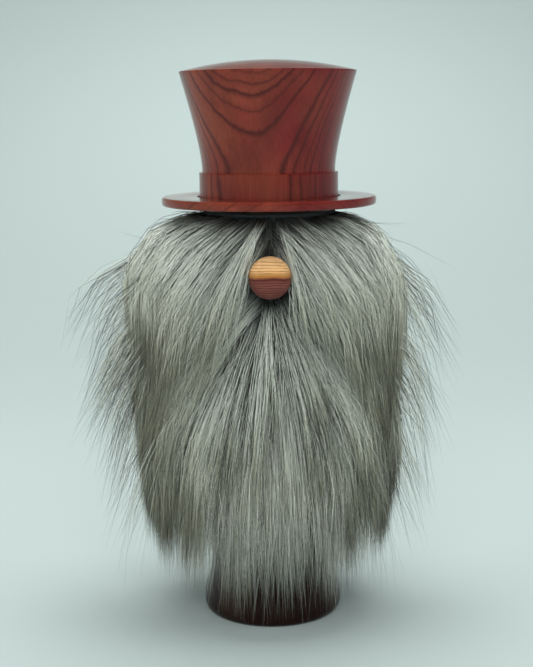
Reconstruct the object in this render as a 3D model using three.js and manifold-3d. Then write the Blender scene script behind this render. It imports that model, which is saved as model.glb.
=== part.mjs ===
// A gnome figurine: a turned wooden post with a spigot, two long-pile fur wraps, a ball nose on a dowel,
// and a turned top hat of two pieces that lifts off the spigot.
// Millimetres, +Z up, the front of the figure towards -Y.
// The origin is on the post's axis, on the foot's flat underside.

import * as THREE from "three";
import { mergeVertices } from "three/addons/utils/BufferGeometryUtils.js";
import Module from "manifold-3d";

// Clearances
const SEAT_GAP = 0.3; // between faces that rest on each other
const FIT_GAP = 0.3; // all round a spigot, tenon or dowel in its hole
const GLUE_GAP = 0.3; // between a fur wrap and the post

// Post
const POST_HEIGHT = 195.4; // foot to shoulder
const FOOT_DIAMETER = 66;
const FOOT_FLAT_DIAMETER = 59;
const FOOT_WIDEST_HEIGHT = 4.6;
const FOOT_NECK_HEIGHT = 25; // where the foot's flare runs out into the trunk
const TRUNK_DIAMETER = 59;
const SHOULDER_ROUND = 2;
const SPIGOT_DIAMETER = 22;
const SPIGOT_HEIGHT = 26;
const SPIGOT_BEVEL = 1.5;

// Hat brim
const BRIM_DIAMETER = 100;
const BRIM_THICKNESS = 4;
const BRIM_EDGE_ROUND = 1.3;
const BRIM_RECESS_DEPTH = 0.8;
const BRIM_RECESS_MARGIN = 1.1; // groove left showing round the band

// Hat crown
const BAND_DIAMETER = 64.8;
const BAND_HEIGHT = 11.2; // above the brim
const BAND_BEVEL = 0.5;
const WAIST_DIAMETER = 62;
const CROWN_RIM_DIAMETER = 82;
const CROWN_RIM_HEIGHT = 56.7; // above the brim
const CROWN_FLARE_START = 22.5; // above the brim, where the waist would meet the straight flare
const CROWN_RIM_BEVEL = 0.5;
const DOME_RISE = 5.6;
const TENON_DIAMETER = 36;

// Nose
const NOSE_DIAMETER = 19;
const NOSE_DROP = 29.2; // from the shoulder to the nose's centre
const NOSE_STANDOFF = 1.4; // from the outside of the fur backing to the back of the ball
const DOWEL_DIAMETER = 6;
const DOWEL_IN_NOSE = 9;
const DOWEL_IN_POST = 12;
const DOWEL_END_GAP = 0.5;

// Fur wraps: a knitted backing and the pile that stands on it
const BACKING_THICKNESS = 1.2;
const WRAP_TOP_MARGIN = 2.4; // from the shoulder down to the hair wrap's top edge
const HAIR_WRAP_WIDTH = 43;
const WRAP_SEAM = 0.6; // between the two wraps
const BEARD_WRAP_WIDTH = 62;
const PILE_FRONT_RATIO = 0.68; // the pile's depth in front of the post, against its spread to the sides
const PILE_BACK_RATIO = 0.86; // the same, behind the post
const HAIR_CROWN_DIAMETER = 94; // of the pile just under the brim
const HAIR_SPREAD = 180; // of the pile at its widest
const HAIR_LENGTH = 100; // from the wrap's top edge down to the widest tips
const HAIR_SHOULDER = 10; // how far the pile has fallen where it turns downwards
const HAIR_HEM_DIAMETER = 138;
const HAIR_HEM_DROP = 12; // from the widest tips down to the hem
const BEARD_SPREAD = 132;
const BEARD_HEM_DIAMETER = 96;
const BEARD_HEM_HEIGHT = 18; // above the ground
const NOSE_CLEARING = 2; // left round the nose between the hair's front locks
const LOCK_GAP = 0.6; // between neighbouring locks
const LAYER_DROP = 2; // from the hair's underside down to the beard's top

// Facets
const SEGMENTS = 48;
const PILE_SEGMENTS = 36;
const CURVE_STEPS = 8;
const ROUND_STEPS = 3;

const trunkRadius = TRUNK_DIAMETER / 2;
const backingInside = trunkRadius + GLUE_GAP;
const backingOutside = backingInside + BACKING_THICKNESS;
const pileInside = backingOutside + GLUE_GAP;
const brimBottom = POST_HEIGHT + SEAT_GAP;
const brimTop = brimBottom + BRIM_THICKNESS;
const recessFloor = brimTop - BRIM_RECESS_DEPTH;
const mortiseRadius = SPIGOT_DIAMETER / 2 + FIT_GAP;
const hairTop = POST_HEIGHT - WRAP_TOP_MARGIN;
const hairBottom = hairTop - HAIR_WRAP_WIDTH;
const beardTop = hairBottom - WRAP_SEAM;
const beardBottom = beardTop - BEARD_WRAP_WIDTH;
const noseHeight = POST_HEIGHT - NOSE_DROP;
const noseBack = backingOutside + NOSE_STANDOFF;
const noseReach = noseBack + NOSE_DIAMETER / 2;
const dowelHoleRadius = DOWEL_DIAMETER / 2 + FIT_GAP;

const wood = {
  walnut: { color: 0x3a2018, roughness: 0.25, metalness: 0 },
  cedar: { color: 0x8a4436, roughness: 0.28, metalness: 0 },
  noseCedar: { color: 0xb0705c, roughness: 0.35, metalness: 0 },
  birch: { color: 0xd2b48c, roughness: 0.6, metalness: 0 },
};
const cloth = {
  knit: { color: 0x4a4a4c, roughness: 0.95, metalness: 0 },
  pile: { color: 0xb9bab3, roughness: 0.9, metalness: 0 },
};

const wasm = await Module();
wasm.setup();

// Outlines are lists of [radius, height] points.

function pointsOf(curve, steps) {
  return curve.getPoints(steps).map((point) => [point.x, point.y]);
}

function bezier(start, control, end, steps = CURVE_STEPS) {
  const points = [start, control, end].map((point) => new THREE.Vector2(...point));
  return pointsOf(new THREE.QuadraticBezierCurve(...points), steps);
}

function cubic(start, control, otherControl, end, steps = CURVE_STEPS) {
  const points = [start, control, otherControl, end].map((point) => new THREE.Vector2(...point));
  return pointsOf(new THREE.CubicBezierCurve(...points), steps);
}

function roundEdge(start, corner, end) {
  return bezier(start, corner, end, ROUND_STEPS);
}

// An outline turned about the Z axis. It starts and ends on the axis, or its first point closes it,
// and it runs upwards on the outside.
function turned(outline, segments = SEGMENTS) {
  const profile = outline.map(([radius, height]) => new THREE.Vector2(radius, height));
  return new THREE.LatheGeometry(profile, segments).rotateX(Math.PI / 2);
}

function turnedRing(outline, segments = SEGMENTS) {
  return turned([...outline, outline[0]], segments);
}

// A cylinder along -Y from the post's axis, at the nose's height.
function crossBar(radius, nearEnd, farEnd) {
  const length = farEnd - nearEnd;
  const geometry = new THREE.CylinderGeometry(radius, radius, length, SEGMENTS / 2);
  return geometry.translate(0, -nearEnd - length / 2, noseHeight);
}

function solidOf(geometry) {
  const bare = new THREE.BufferGeometry();
  bare.setAttribute("position", geometry.attributes.position);
  bare.setIndex(geometry.index);
  const merged = mergeVertices(bare, 1e-4);
  const corners = [];
  for (let i = 0; i < merged.index.count; i += 3) {
    const [a, b, c] = [0, 1, 2].map((k) => merged.index.getX(i + k));
    if (a !== b && b !== c && c !== a) {
      corners.push(a, b, c);
    }
  }
  return new wasm.Manifold(
    new wasm.Mesh({
      numProp: 3,
      vertProperties: merged.attributes.position.array,
      triVerts: new Uint32Array(corners),
    }),
  );
}

function geometryOf(solid) {
  const mesh = solid.getMesh();
  const geometry = new THREE.BufferGeometry();
  geometry.setAttribute("position", new THREE.BufferAttribute(mesh.vertProperties, 3));
  geometry.setIndex(new THREE.BufferAttribute(mesh.triVerts, 1));
  geometry.computeVertexNormals();
  return geometry;
}

function piece(name, geometry, finish) {
  const mesh = new THREE.Mesh(geometry, new THREE.MeshStandardMaterial(finish));
  mesh.name = name;
  return mesh;
}

function postOutline() {
  const footRadius = FOOT_DIAMETER / 2;
  const flatRadius = FOOT_FLAT_DIAMETER / 2;
  const spigotRadius = SPIGOT_DIAMETER / 2;
  const spigotTop = POST_HEIGHT + SPIGOT_HEIGHT;
  const flareMiddle = (FOOT_WIDEST_HEIGHT + FOOT_NECK_HEIGHT) / 2;
  return [
    [0, 0],
    ...roundEdge([flatRadius, 0], [footRadius, 0], [footRadius, FOOT_WIDEST_HEIGHT]),
    ...cubic(
      [footRadius, FOOT_WIDEST_HEIGHT],
      [footRadius, flareMiddle],
      [trunkRadius, flareMiddle],
      [trunkRadius, FOOT_NECK_HEIGHT],
    ).slice(1),
    ...roundEdge(
      [trunkRadius, POST_HEIGHT - SHOULDER_ROUND],
      [trunkRadius, POST_HEIGHT],
      [trunkRadius - SHOULDER_ROUND, POST_HEIGHT],
    ),
    [spigotRadius, POST_HEIGHT],
    [spigotRadius, spigotTop - SPIGOT_BEVEL],
    [spigotRadius - SPIGOT_BEVEL, spigotTop],
    [0, spigotTop],
  ];
}

function post() {
  const holeEnd = trunkRadius - DOWEL_IN_POST - DOWEL_END_GAP;
  const hole = crossBar(dowelHoleRadius, holeEnd, TRUNK_DIAMETER);
  const solid = solidOf(turned(postOutline())).subtract(solidOf(hole));
  return piece("body", geometryOf(solid), wood.walnut);
}

function brim() {
  const rim = BRIM_DIAMETER / 2;
  const round = BRIM_EDGE_ROUND;
  const recess = BAND_DIAMETER / 2 + BRIM_RECESS_MARGIN;
  const hole = TENON_DIAMETER / 2 + FIT_GAP;
  const outline = [
    [hole, brimBottom],
    ...roundEdge([rim - round, brimBottom], [rim, brimBottom], [rim, brimBottom + round]),
    ...roundEdge([rim, brimTop - round], [rim, brimTop], [rim - round, brimTop]),
    [recess, brimTop],
    [recess, recessFloor],
    [hole, recessFloor],
  ];
  return piece("hat_brim", turnedRing(outline), wood.cedar);
}

function crown() {
  const band = BAND_DIAMETER / 2;
  const waist = WAIST_DIAMETER / 2;
  const rim = CROWN_RIM_DIAMETER / 2;
  const tenon = TENON_DIAMETER / 2;
  const bandTop = brimTop + BAND_HEIGHT;
  const rimHeight = brimTop + CROWN_RIM_HEIGHT;
  const mortiseTop = POST_HEIGHT + SPIGOT_HEIGHT + SEAT_GAP;
  const outline = [
    [mortiseRadius, brimBottom],
    [tenon, brimBottom],
    [tenon, recessFloor + SEAT_GAP],
    [band, recessFloor + SEAT_GAP],
    [band, bandTop - BAND_BEVEL],
    [band - BAND_BEVEL, bandTop],
    [waist, bandTop],
    ...bezier([waist, bandTop + 1], [waist, brimTop + CROWN_FLARE_START], [rim, rimHeight]),
    [rim - CROWN_RIM_BEVEL, rimHeight + CROWN_RIM_BEVEL],
    ...bezier(
      [rim - CROWN_RIM_BEVEL, rimHeight + CROWN_RIM_BEVEL],
      [rim / 2, rimHeight + DOME_RISE],
      [0, rimHeight + DOME_RISE],
    ).slice(1),
    [0, mortiseTop],
    [mortiseRadius, mortiseTop],
  ];
  return piece("hat_crown", turnedRing(outline), wood.cedar);
}

function nose() {
  const ball = new THREE.SphereGeometry(NOSE_DIAMETER / 2, SEGMENTS / 2, SEGMENTS / 3);
  ball.translate(0, -noseReach, noseHeight);
  const holeEnd = noseBack + DOWEL_IN_NOSE + DOWEL_END_GAP;
  const hole = crossBar(dowelHoleRadius, noseBack - NOSE_DIAMETER / 2, holeEnd);
  return piece("nose", geometryOf(solidOf(ball).subtract(solidOf(hole))), wood.noseCedar);
}

function noseDowel() {
  const bar = crossBar(DOWEL_DIAMETER / 2, trunkRadius - DOWEL_IN_POST, noseBack + DOWEL_IN_NOSE);
  return piece("nose_dowel", bar, wood.birch);
}

// A sleeve of knitted cloth round the post. One that passes behind the nose gets a hole for the dowel.
function backing(name, bottom, top) {
  const sleeve = turnedRing([
    [backingInside, bottom],
    [backingOutside, bottom],
    [backingOutside, top],
    [backingInside, top],
  ]);
  const hole = crossBar(dowelHoleRadius, 0, TRUNK_DIAMETER);
  return piece(name, geometryOf(solidOf(sleeve).subtract(solidOf(hole))), cloth.knit);
}

// The pile's outline turned about Z, pressed in from front and back, and cut out down to the backing.
function pileBody(outline) {
  const outer = turned(outline, PILE_SEGMENTS);
  const place = outer.attributes.position;
  for (let i = 0; i < place.count; i += 1) {
    const y = place.getY(i);
    place.setY(i, y * (y < 0 ? PILE_FRONT_RATIO : PILE_BACK_RATIO));
  }
  const core = turned([[0, 0], [pileInside, 0], [pileInside, POST_HEIGHT], [0, POST_HEIGHT]]);
  return solidOf(outer).subtract(solidOf(core));
}

const hairHemHeight = hairTop - HAIR_LENGTH - HAIR_HEM_DROP;

// The underside of the hair, or the same curve lowered, which is the beard's top.
function hairUnderside(lowered = 0) {
  const hem = HAIR_HEM_DIAMETER / 2;
  const height = hairBottom - lowered;
  const hemHeight = hairHemHeight - lowered;
  const control = [(2 * pileInside + hem) / 3, (height + hemHeight) / 2];
  return bezier([pileInside, height], control, [hem, hemHeight], CURVE_STEPS / 2);
}

function hairBody() {
  const tip = HAIR_SPREAD / 2;
  const tipHeight = hairTop - HAIR_LENGTH;
  const top = HAIR_CROWN_DIAMETER / 2;
  const fall = cubic(
    [tip, tipHeight],
    [(4 * tip + top) / 5, (tipHeight + hairTop) / 2],
    [(3 * tip + 2 * top) / 5, hairTop - HAIR_SHOULDER],
    [top, hairTop],
  );
  return pileBody([[0, hairBottom], ...hairUnderside(), ...fall, [0, hairTop]]);
}

function beardBody() {
  const hem = BEARD_HEM_DIAMETER / 2;
  const spread = BEARD_SPREAD / 2;
  const underHair = hairUnderside(LAYER_DROP).reverse();
  const [shoulderRadius, shoulderHeight] = underHair[0];
  const outside = bezier(
    [hem, BEARD_HEM_HEIGHT],
    [2 * spread - (hem + shoulderRadius) / 2, (BEARD_HEM_HEIGHT + shoulderHeight) / 2],
    [shoulderRadius, shoulderHeight],
  );
  const topHeight = underHair.at(-1)[1];
  return pileBody([[0, BEARD_HEM_HEIGHT], ...outside, ...underHair.slice(1), [0, topHeight]]);
}

// The part of a body between two bearings, in degrees from the front, positive towards +X.
function lockOf(body, from, to) {
  const reach = HAIR_SPREAD;
  const steps = 4;
  const wedge = new THREE.Shape([new THREE.Vector2(0, 0)]);
  for (let step = 0; step <= steps; step += 1) {
    const bearing = THREE.MathUtils.degToRad(from + ((to - from) * step) / steps - 90);
    wedge.lineTo(reach * Math.cos(bearing), reach * Math.sin(bearing));
  }
  const middle = THREE.MathUtils.degToRad((from + to) / 2 - 90);
  const inset = LOCK_GAP / 2 / Math.sin(THREE.MathUtils.degToRad((to - from) / 2));
  const prism = new THREE.ExtrudeGeometry(wedge, { depth: POST_HEIGHT, bevelEnabled: false });
  prism.translate(inset * Math.cos(middle), inset * Math.sin(middle), 0);
  return body.intersect(solidOf(prism));
}

const hairLocks = [
  ["hair_front_left", -60, 0],
  ["hair_front_right", 0, 60],
  ["hair_left", -130, -60],
  ["hair_right", 60, 130],
  ["hair_back_left", -180, -130],
  ["hair_back_right", 130, 180],
];
const beardLocks = [
  ["beard_front", -42, 42],
  ["beard_left", -118, -42],
  ["beard_right", 42, 118],
  ["beard_back_left", -180, -118],
  ["beard_back_right", 118, 180],
];

function locks(body, bearings) {
  return bearings.map(([name, from, to]) => piece(name, geometryOf(lockOf(body, from, to)), cloth.pile));
}

const clearing = crossBar(NOSE_DIAMETER / 2 + NOSE_CLEARING, 0, HAIR_SPREAD);

const figure = new THREE.Group();
figure.add(post(), nose(), noseDowel());
figure.add(backing("hair_backing", hairBottom, hairTop));
figure.add(backing("beard_backing", beardBottom, beardTop));
figure.add(...locks(hairBody().subtract(solidOf(clearing)), hairLocks));
figure.add(...locks(beardBody(), beardLocks));

const hat = new THREE.Group();
hat.add(brim(), crown());

const gnome = new THREE.Group();
gnome.add(figure, hat);

export default gnome;
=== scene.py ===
import math

import bpy
import numpy as np
from bpy.props import FloatProperty, FloatVectorProperty, IntProperty, PointerProperty
from bpy.types import Operator, Panel, PropertyGroup
from mathutils import Matrix, Vector


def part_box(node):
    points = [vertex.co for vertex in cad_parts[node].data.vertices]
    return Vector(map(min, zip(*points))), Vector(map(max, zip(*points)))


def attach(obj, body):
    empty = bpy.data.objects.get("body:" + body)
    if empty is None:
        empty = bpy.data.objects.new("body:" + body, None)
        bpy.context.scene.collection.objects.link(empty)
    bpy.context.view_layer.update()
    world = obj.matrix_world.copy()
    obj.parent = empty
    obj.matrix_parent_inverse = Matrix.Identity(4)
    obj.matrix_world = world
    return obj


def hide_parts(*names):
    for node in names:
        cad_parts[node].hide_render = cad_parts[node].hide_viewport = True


# A gnome figurine: a turned post, hair and beard of long-pile fur, a ball nose and a turned top hat.
# The front is towards -Y. Shapes are worked out in millimetres and written to their meshes in metres.

bl_info = {
    "name": "Top-hat gnome",
    "version": (1, 0, 0),
    "blender": (4, 5, 0),
    "location": "3D View > Sidebar > Gnome",
    "description": "Builds a turned gnome with a fur beard around its CAD frame",
    "category": "Add Mesh",
}

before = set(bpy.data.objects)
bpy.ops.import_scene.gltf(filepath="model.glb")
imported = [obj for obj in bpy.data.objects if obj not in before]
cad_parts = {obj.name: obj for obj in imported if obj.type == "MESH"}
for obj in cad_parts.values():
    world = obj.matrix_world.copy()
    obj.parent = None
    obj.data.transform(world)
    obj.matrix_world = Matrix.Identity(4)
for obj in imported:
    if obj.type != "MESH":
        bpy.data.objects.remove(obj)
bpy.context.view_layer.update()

MM = 0.001
FIGURE = "figure"
HAT = "hat"
BAKED_MAP = "OFBake"
SHARP_FROM = math.radians(35)  # edges this sharp are shaded as edges
BROKEN_EDGE = 0.25  # millimetres taken off the hat's small edges


def box_mm(node):
    """The lowest and the highest corner of a CAD node, in millimetres."""
    low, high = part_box(node)
    return np.array(low) / MM, np.array(high) / MM


POST_HIGH = box_mm("body")[1]
BRIM_LOW, BRIM_HIGH = box_mm("hat_brim")
CROWN_HIGH = box_mm("hat_crown")[1]
NOSE_LOW, NOSE_HIGH = box_mm("nose")
DOWEL_LOW, DOWEL_HIGH = box_mm("nose_dowel")
HAIR_CLOTH_LOW, HAIR_CLOTH_HIGH = box_mm("hair_backing")
BEARD_CLOTH_LOW, BEARD_CLOTH_HIGH = box_mm("beard_backing")
NOSE_MIDDLE = (NOSE_LOW + NOSE_HIGH) / 2
NOSE_RADIUS = (NOSE_HIGH[0] - NOSE_LOW[0]) / 2
DOWEL_HOLE = DOWEL_HIGH[0] + 0.3
DOWEL_END = 0.5  # millimetres left free at each end of the dowel
CLOTH_RADIUS = HAIR_CLOTH_HIGH[0]


# ---------------------------------------------------------------- settings


def length(name, description, millimetres):
    return FloatProperty(
        name=name, description=description, default=millimetres * MM, min=0, precision=4, unit="LENGTH"
    )


def angle(name, description, degrees):
    return FloatProperty(name=name, description=description, default=math.radians(degrees), subtype="ANGLE")


def colour(name, description, default):
    return FloatVectorProperty(
        name=name, description=description, default=default, size=3, min=0, max=1, subtype="COLOR"
    )


def amount(name, description, default):
    return FloatProperty(name=name, description=description, default=default, min=0, subtype="FACTOR")


class StageSettings(PropertyGroup):
    camera_distance: length("Camera distance", "From the post's axis to the camera", 623.8)
    camera_height: length("Camera height", "From the floor to the camera", 239.4)
    camera_left: length("Camera to the left", "How far the camera stands to the left", 1.8)
    pitch: angle("Pitch", "How far the camera looks down", 9.56)
    roll: angle("Roll", "How far the camera leans", -0.6)
    lens: FloatProperty(name="Lens", description="Focal length", default=71.85, unit="CAMERA")
    floor_colour: colour("Floor", "Pale blue-grey paper sweep", (0.440, 0.500, 0.490))
    room_colour: colour("Room", "Soft light from all round", (0.84, 0.95, 0.94))
    room_strength: amount("Room strength", "Of the light from all round", 0.15)


class PostSettings(PropertyGroup):
    foot_flat: length("Foot flat", "Radius of the flat that the post stands on", 29.5)
    foot_widest: length("Foot's widest ring", "Its height above the floor", 4.6)
    foot_neck: length("Foot's neck", "Height where the flare runs out into the trunk", 25)
    trunk: length("Trunk", "Radius of the post above the foot", 29.5)
    shoulder: length("Shoulder", "Height of the shoulder under the hat", 195.4)
    shoulder_round: length("Shoulder round", "Radius of the shoulder's edge", 2)
    spigot: length("Spigot", "Radius of the spigot inside the hat", 11)
    spigot_bevel: length("Spigot bevel", "Bevel at the spigot's end", 1.5)
    wood: colour("Wood", "Dark brown hardwood", (0.028, 0.014, 0.008))
    streak: colour("Streak", "Near-black red figure", (0.010, 0.002, 0.0015))


class HatSettings(PropertyGroup):
    band: length("Band", "Radius of the raised band", 32.4)
    band_height: length("Band height", "Height of the band above the brim", 11.2)
    band_bevel: length("Band bevel", "Bevel at the band's upper edge", 0.5)
    waist: length("Waist", "Radius of the crown just above the band", 31)
    flare_start: length("Flare start", "Height above the brim where the flare begins", 22.5)
    rim_height: length("Rim height", "Height of the crown's rim above the brim", 56.7)
    tenon: length("Tenon", "Radius of the crown's tenon in the brim", 18)
    mortise: length("Mortise", "Radius of the hole for the spigot", 11.3)
    mortise_top: length("Mortise top", "Height of the mortise's end above the floor", 221.7)
    brim_round: length("Brim edge", "Radius of the brim's rounded edge", 1.3)
    recess: length("Recess", "Depth of the crown's seat in the brim", 0.8)
    groove: length("Groove", "Width of the groove left round the band", 1.1)
    gap: length("Gap", "Between faces that rest on each other", 0.3)
    wood: colour("Wood", "Red-brown cedar heartwood", (0.210, 0.041, 0.022))
    deep_wood: colour("Deep wood", "Redder heartwood to one side", (0.140, 0.011, 0.011))
    ring: colour("Growth ring", "Dark latewood line", (0.060, 0.008, 0.007))


class NoseSettings(PropertyGroup):
    sapwood: colour("Sapwood", "Pale upper part", (0.86, 0.50, 0.24))
    gold: colour("Gold", "Golden band under the sapwood", (0.42, 0.17, 0.035))
    heartwood: colour("Heartwood", "Purple-red lower part", (0.20, 0.058, 0.045))
    ring: colour("Growth ring", "Dark red line", (0.075, 0.012, 0.010))


class FurSettings(PropertyGroup):
    hair_strands: IntProperty(name="Hair strands", description="Strands on the upper wrap", default=41000)
    beard_strands: IntProperty(name="Beard strands", description="Strands on the lower wrap", default=34000)
    thickness: length("Strand", "Radius of a strand near its middle", 0.125)
    lock_spacing: length("Lock spacing", "Between the roots of neighbouring locks", 2.7)
    gather: amount("Gather", "How far the strands of a lock draw together at its tip", 0.36)
    wander: length("Wander", "How far a strand's tip strays from its lock", 4.2)
    root_colour: colour("Roots", "Dark blue-grey", (0.075, 0.086, 0.088))
    pale_colour: colour("Pale pile", "Cream-white length of the strands", (1.0, 0.99, 0.91))
    grey_colour: colour("Grey pile", "Warm grey length of the strands", (0.68, 0.68, 0.60))
    tip_colour: colour("Tips", "Black", (0.010, 0.010, 0.009))
    cloth_colour: colour("Backing", "Dark knitted cloth", (0.030, 0.032, 0.034))


class GnomeSettings(PropertyGroup):
    stage: PointerProperty(type=StageSettings)
    post: PointerProperty(type=PostSettings)
    hat: PointerProperty(type=HatSettings)
    nose: PointerProperty(type=NoseSettings)
    fur: PointerProperty(type=FurSettings)


def in_mm(group, *names):
    """Lengths of a settings group, in millimetres."""
    return [getattr(group, name) / MM for name in names]


# ---------------------------------------------------------------- surfaces


def write_mesh(name, vertices, faces, uv=None):
    """A smooth mesh object at the origin, from vertices in millimetres.

    faces is a list of integer arrays, one row to a face. uv has one pair to each corner of the faces.
    """
    corners = np.concatenate([block.ravel() for block in faces])
    sizes = np.concatenate([np.full(len(block), block.shape[1]) for block in faces])
    mesh = bpy.data.meshes.new(name)
    mesh.vertices.add(len(vertices))
    mesh.vertices.foreach_set("co", (vertices * MM).astype(np.float32).ravel())
    mesh.loops.add(len(corners))
    mesh.loops.foreach_set("vertex_index", corners.astype(np.int32))
    mesh.polygons.add(len(sizes))
    mesh.polygons.foreach_set("loop_start", (np.cumsum(sizes) - sizes).astype(np.int32))
    mesh.polygons.foreach_set("use_smooth", np.ones(len(sizes), bool))
    if uv is not None:
        layer = mesh.uv_layers.new(name=BAKED_MAP)
        layer.uv.foreach_set("vector", uv.astype(np.float32).ravel())
    mesh.update(calc_edges=True)
    piece = bpy.data.objects.new(name, mesh)
    bpy.context.scene.collection.objects.link(piece)
    return piece


def bezier(*points, steps=10):
    """A Bezier curve: its control points weighted by Bernstein polynomials."""
    order = len(points) - 1
    t = np.linspace(0, 1, steps + 1)[:, None]
    weights = [math.comb(order, k) * t**k * (1 - t) ** (order - k) for k in range(order + 1)]
    return sum(weight * np.array(point) for weight, point in zip(weights, points))


def outline_of(*stretches):
    """One outline of curves and single points, without its repeated points."""
    points = np.concatenate([np.reshape(stretch, (-1, 2)) for stretch in stretches]).astype(float)
    moved = np.linalg.norm(np.diff(points, axis=0), axis=1) > 1e-4
    return points[np.concatenate([[True], moved])]


def ring_quads(rows, columns, closed=False):
    """The row and column of each quad between rings of points, and its four corners.

    They are a point, the one beside it and the two above them. closed joins the last ring to the first.
    """
    row, column = np.indices((rows - (not closed), columns)).reshape(2, -1)
    beside = (column + 1) % columns
    here = row * columns
    above = (row + 1) % rows * columns
    return row, column, np.stack([here + column, here + beside, above + beside, above + column], axis=-1)


def turned(name, outline, segments=256):
    """An outline of (radius, height) turned about Z: x = r sin a, y = -r cos a, z = h.

    It runs upwards on the outside. It starts and ends on the axis, or it is a closed ring.
    """
    ring = outline[0, 0] > 1e-6
    rows = outline if ring else outline[1:-1]
    bearing = np.arange(segments) * (2 * math.pi / segments)
    x = rows[:, :1] * np.sin(bearing)
    y = -rows[:, :1] * np.cos(bearing)
    vertices = np.stack([x, y, np.broadcast_to(rows[:, 1:], x.shape)], axis=-1).reshape(-1, 3)
    steps = np.linalg.norm(np.diff(outline, axis=0, append=outline[:1] if ring else outline[-1:]), axis=1)
    along = np.concatenate([[0], np.cumsum(steps)]) / np.sum(steps)
    row, column, quads = ring_quads(len(rows), segments, ring)
    start = row + (not ring)
    u = np.stack([column, column + 1, column + 1, column], axis=-1) / segments
    v = np.stack([along[start], along[start], along[start + 1], along[start + 1]], axis=-1)
    faces = [quads]
    uv = [np.stack([u, v], axis=-1).reshape(-1, 2)]
    if not ring:
        first = np.arange(segments)
        after = (first + 1) % segments
        last = (len(rows) - 1) * segments
        pole = np.full(segments, len(vertices))
        vertices = np.concatenate([vertices, [[0, 0, outline[0, 1]], [0, 0, outline[-1, 1]]]])
        faces.append(np.stack([pole, after, first], axis=-1))
        faces.append(np.stack([last + first, last + after, pole + 1], axis=-1))
        left, middle, right = first / segments, (first + 0.5) / segments, (first + 1) / segments
        below = ([middle, right, left], [0, along[1], along[1]])
        above = ([left, right, middle], [along[-3], along[-3], 1])
        for u, v in (below, above):
            uv.append(np.stack([np.stack(u, -1), np.broadcast_to(v, (segments, 3))], -1).reshape(-1, 2))
    piece = write_mesh(name, vertices, faces, np.concatenate(uv))
    piece.data.set_sharp_from_angle(angle=SHARP_FROM)
    return piece


def faced_forward(piece, place):
    """The piece turned from +Z to -Y, at a place in millimetres. Its mesh is moved, not the object."""
    moved = Matrix.Translation(Vector(np.multiply(place, MM)))
    piece.data.transform(moved @ Matrix.Rotation(math.pi / 2, 4, "X"))
    return piece


def bar(name, radius, near, far, height, segments=48):
    """A closed round bar along -Y from the post's axis, at a height."""
    piece = turned(name, np.array([[0, near], [radius, near], [radius, far], [0, far]], float), segments)
    return faced_forward(piece, (0, 0, height))


def bored(piece, radius, near, far, height):
    """The piece with a round hole along -Y, cut by a bar."""
    cutter = bar("cutter", radius, near, far, height)
    cut = piece.modifiers.new("bore", "BOOLEAN")
    cut.operation = "DIFFERENCE"
    cut.object = cutter
    cut.solver = "EXACT"
    shaped = bpy.data.meshes.new_from_object(piece.evaluated_get(bpy.context.evaluated_depsgraph_get()))
    piece.modifiers.clear()
    piece.data = shaped
    shaped.name = piece.name
    bpy.data.objects.remove(cutter)
    return piece


# ---------------------------------------------------------------- materials


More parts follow.
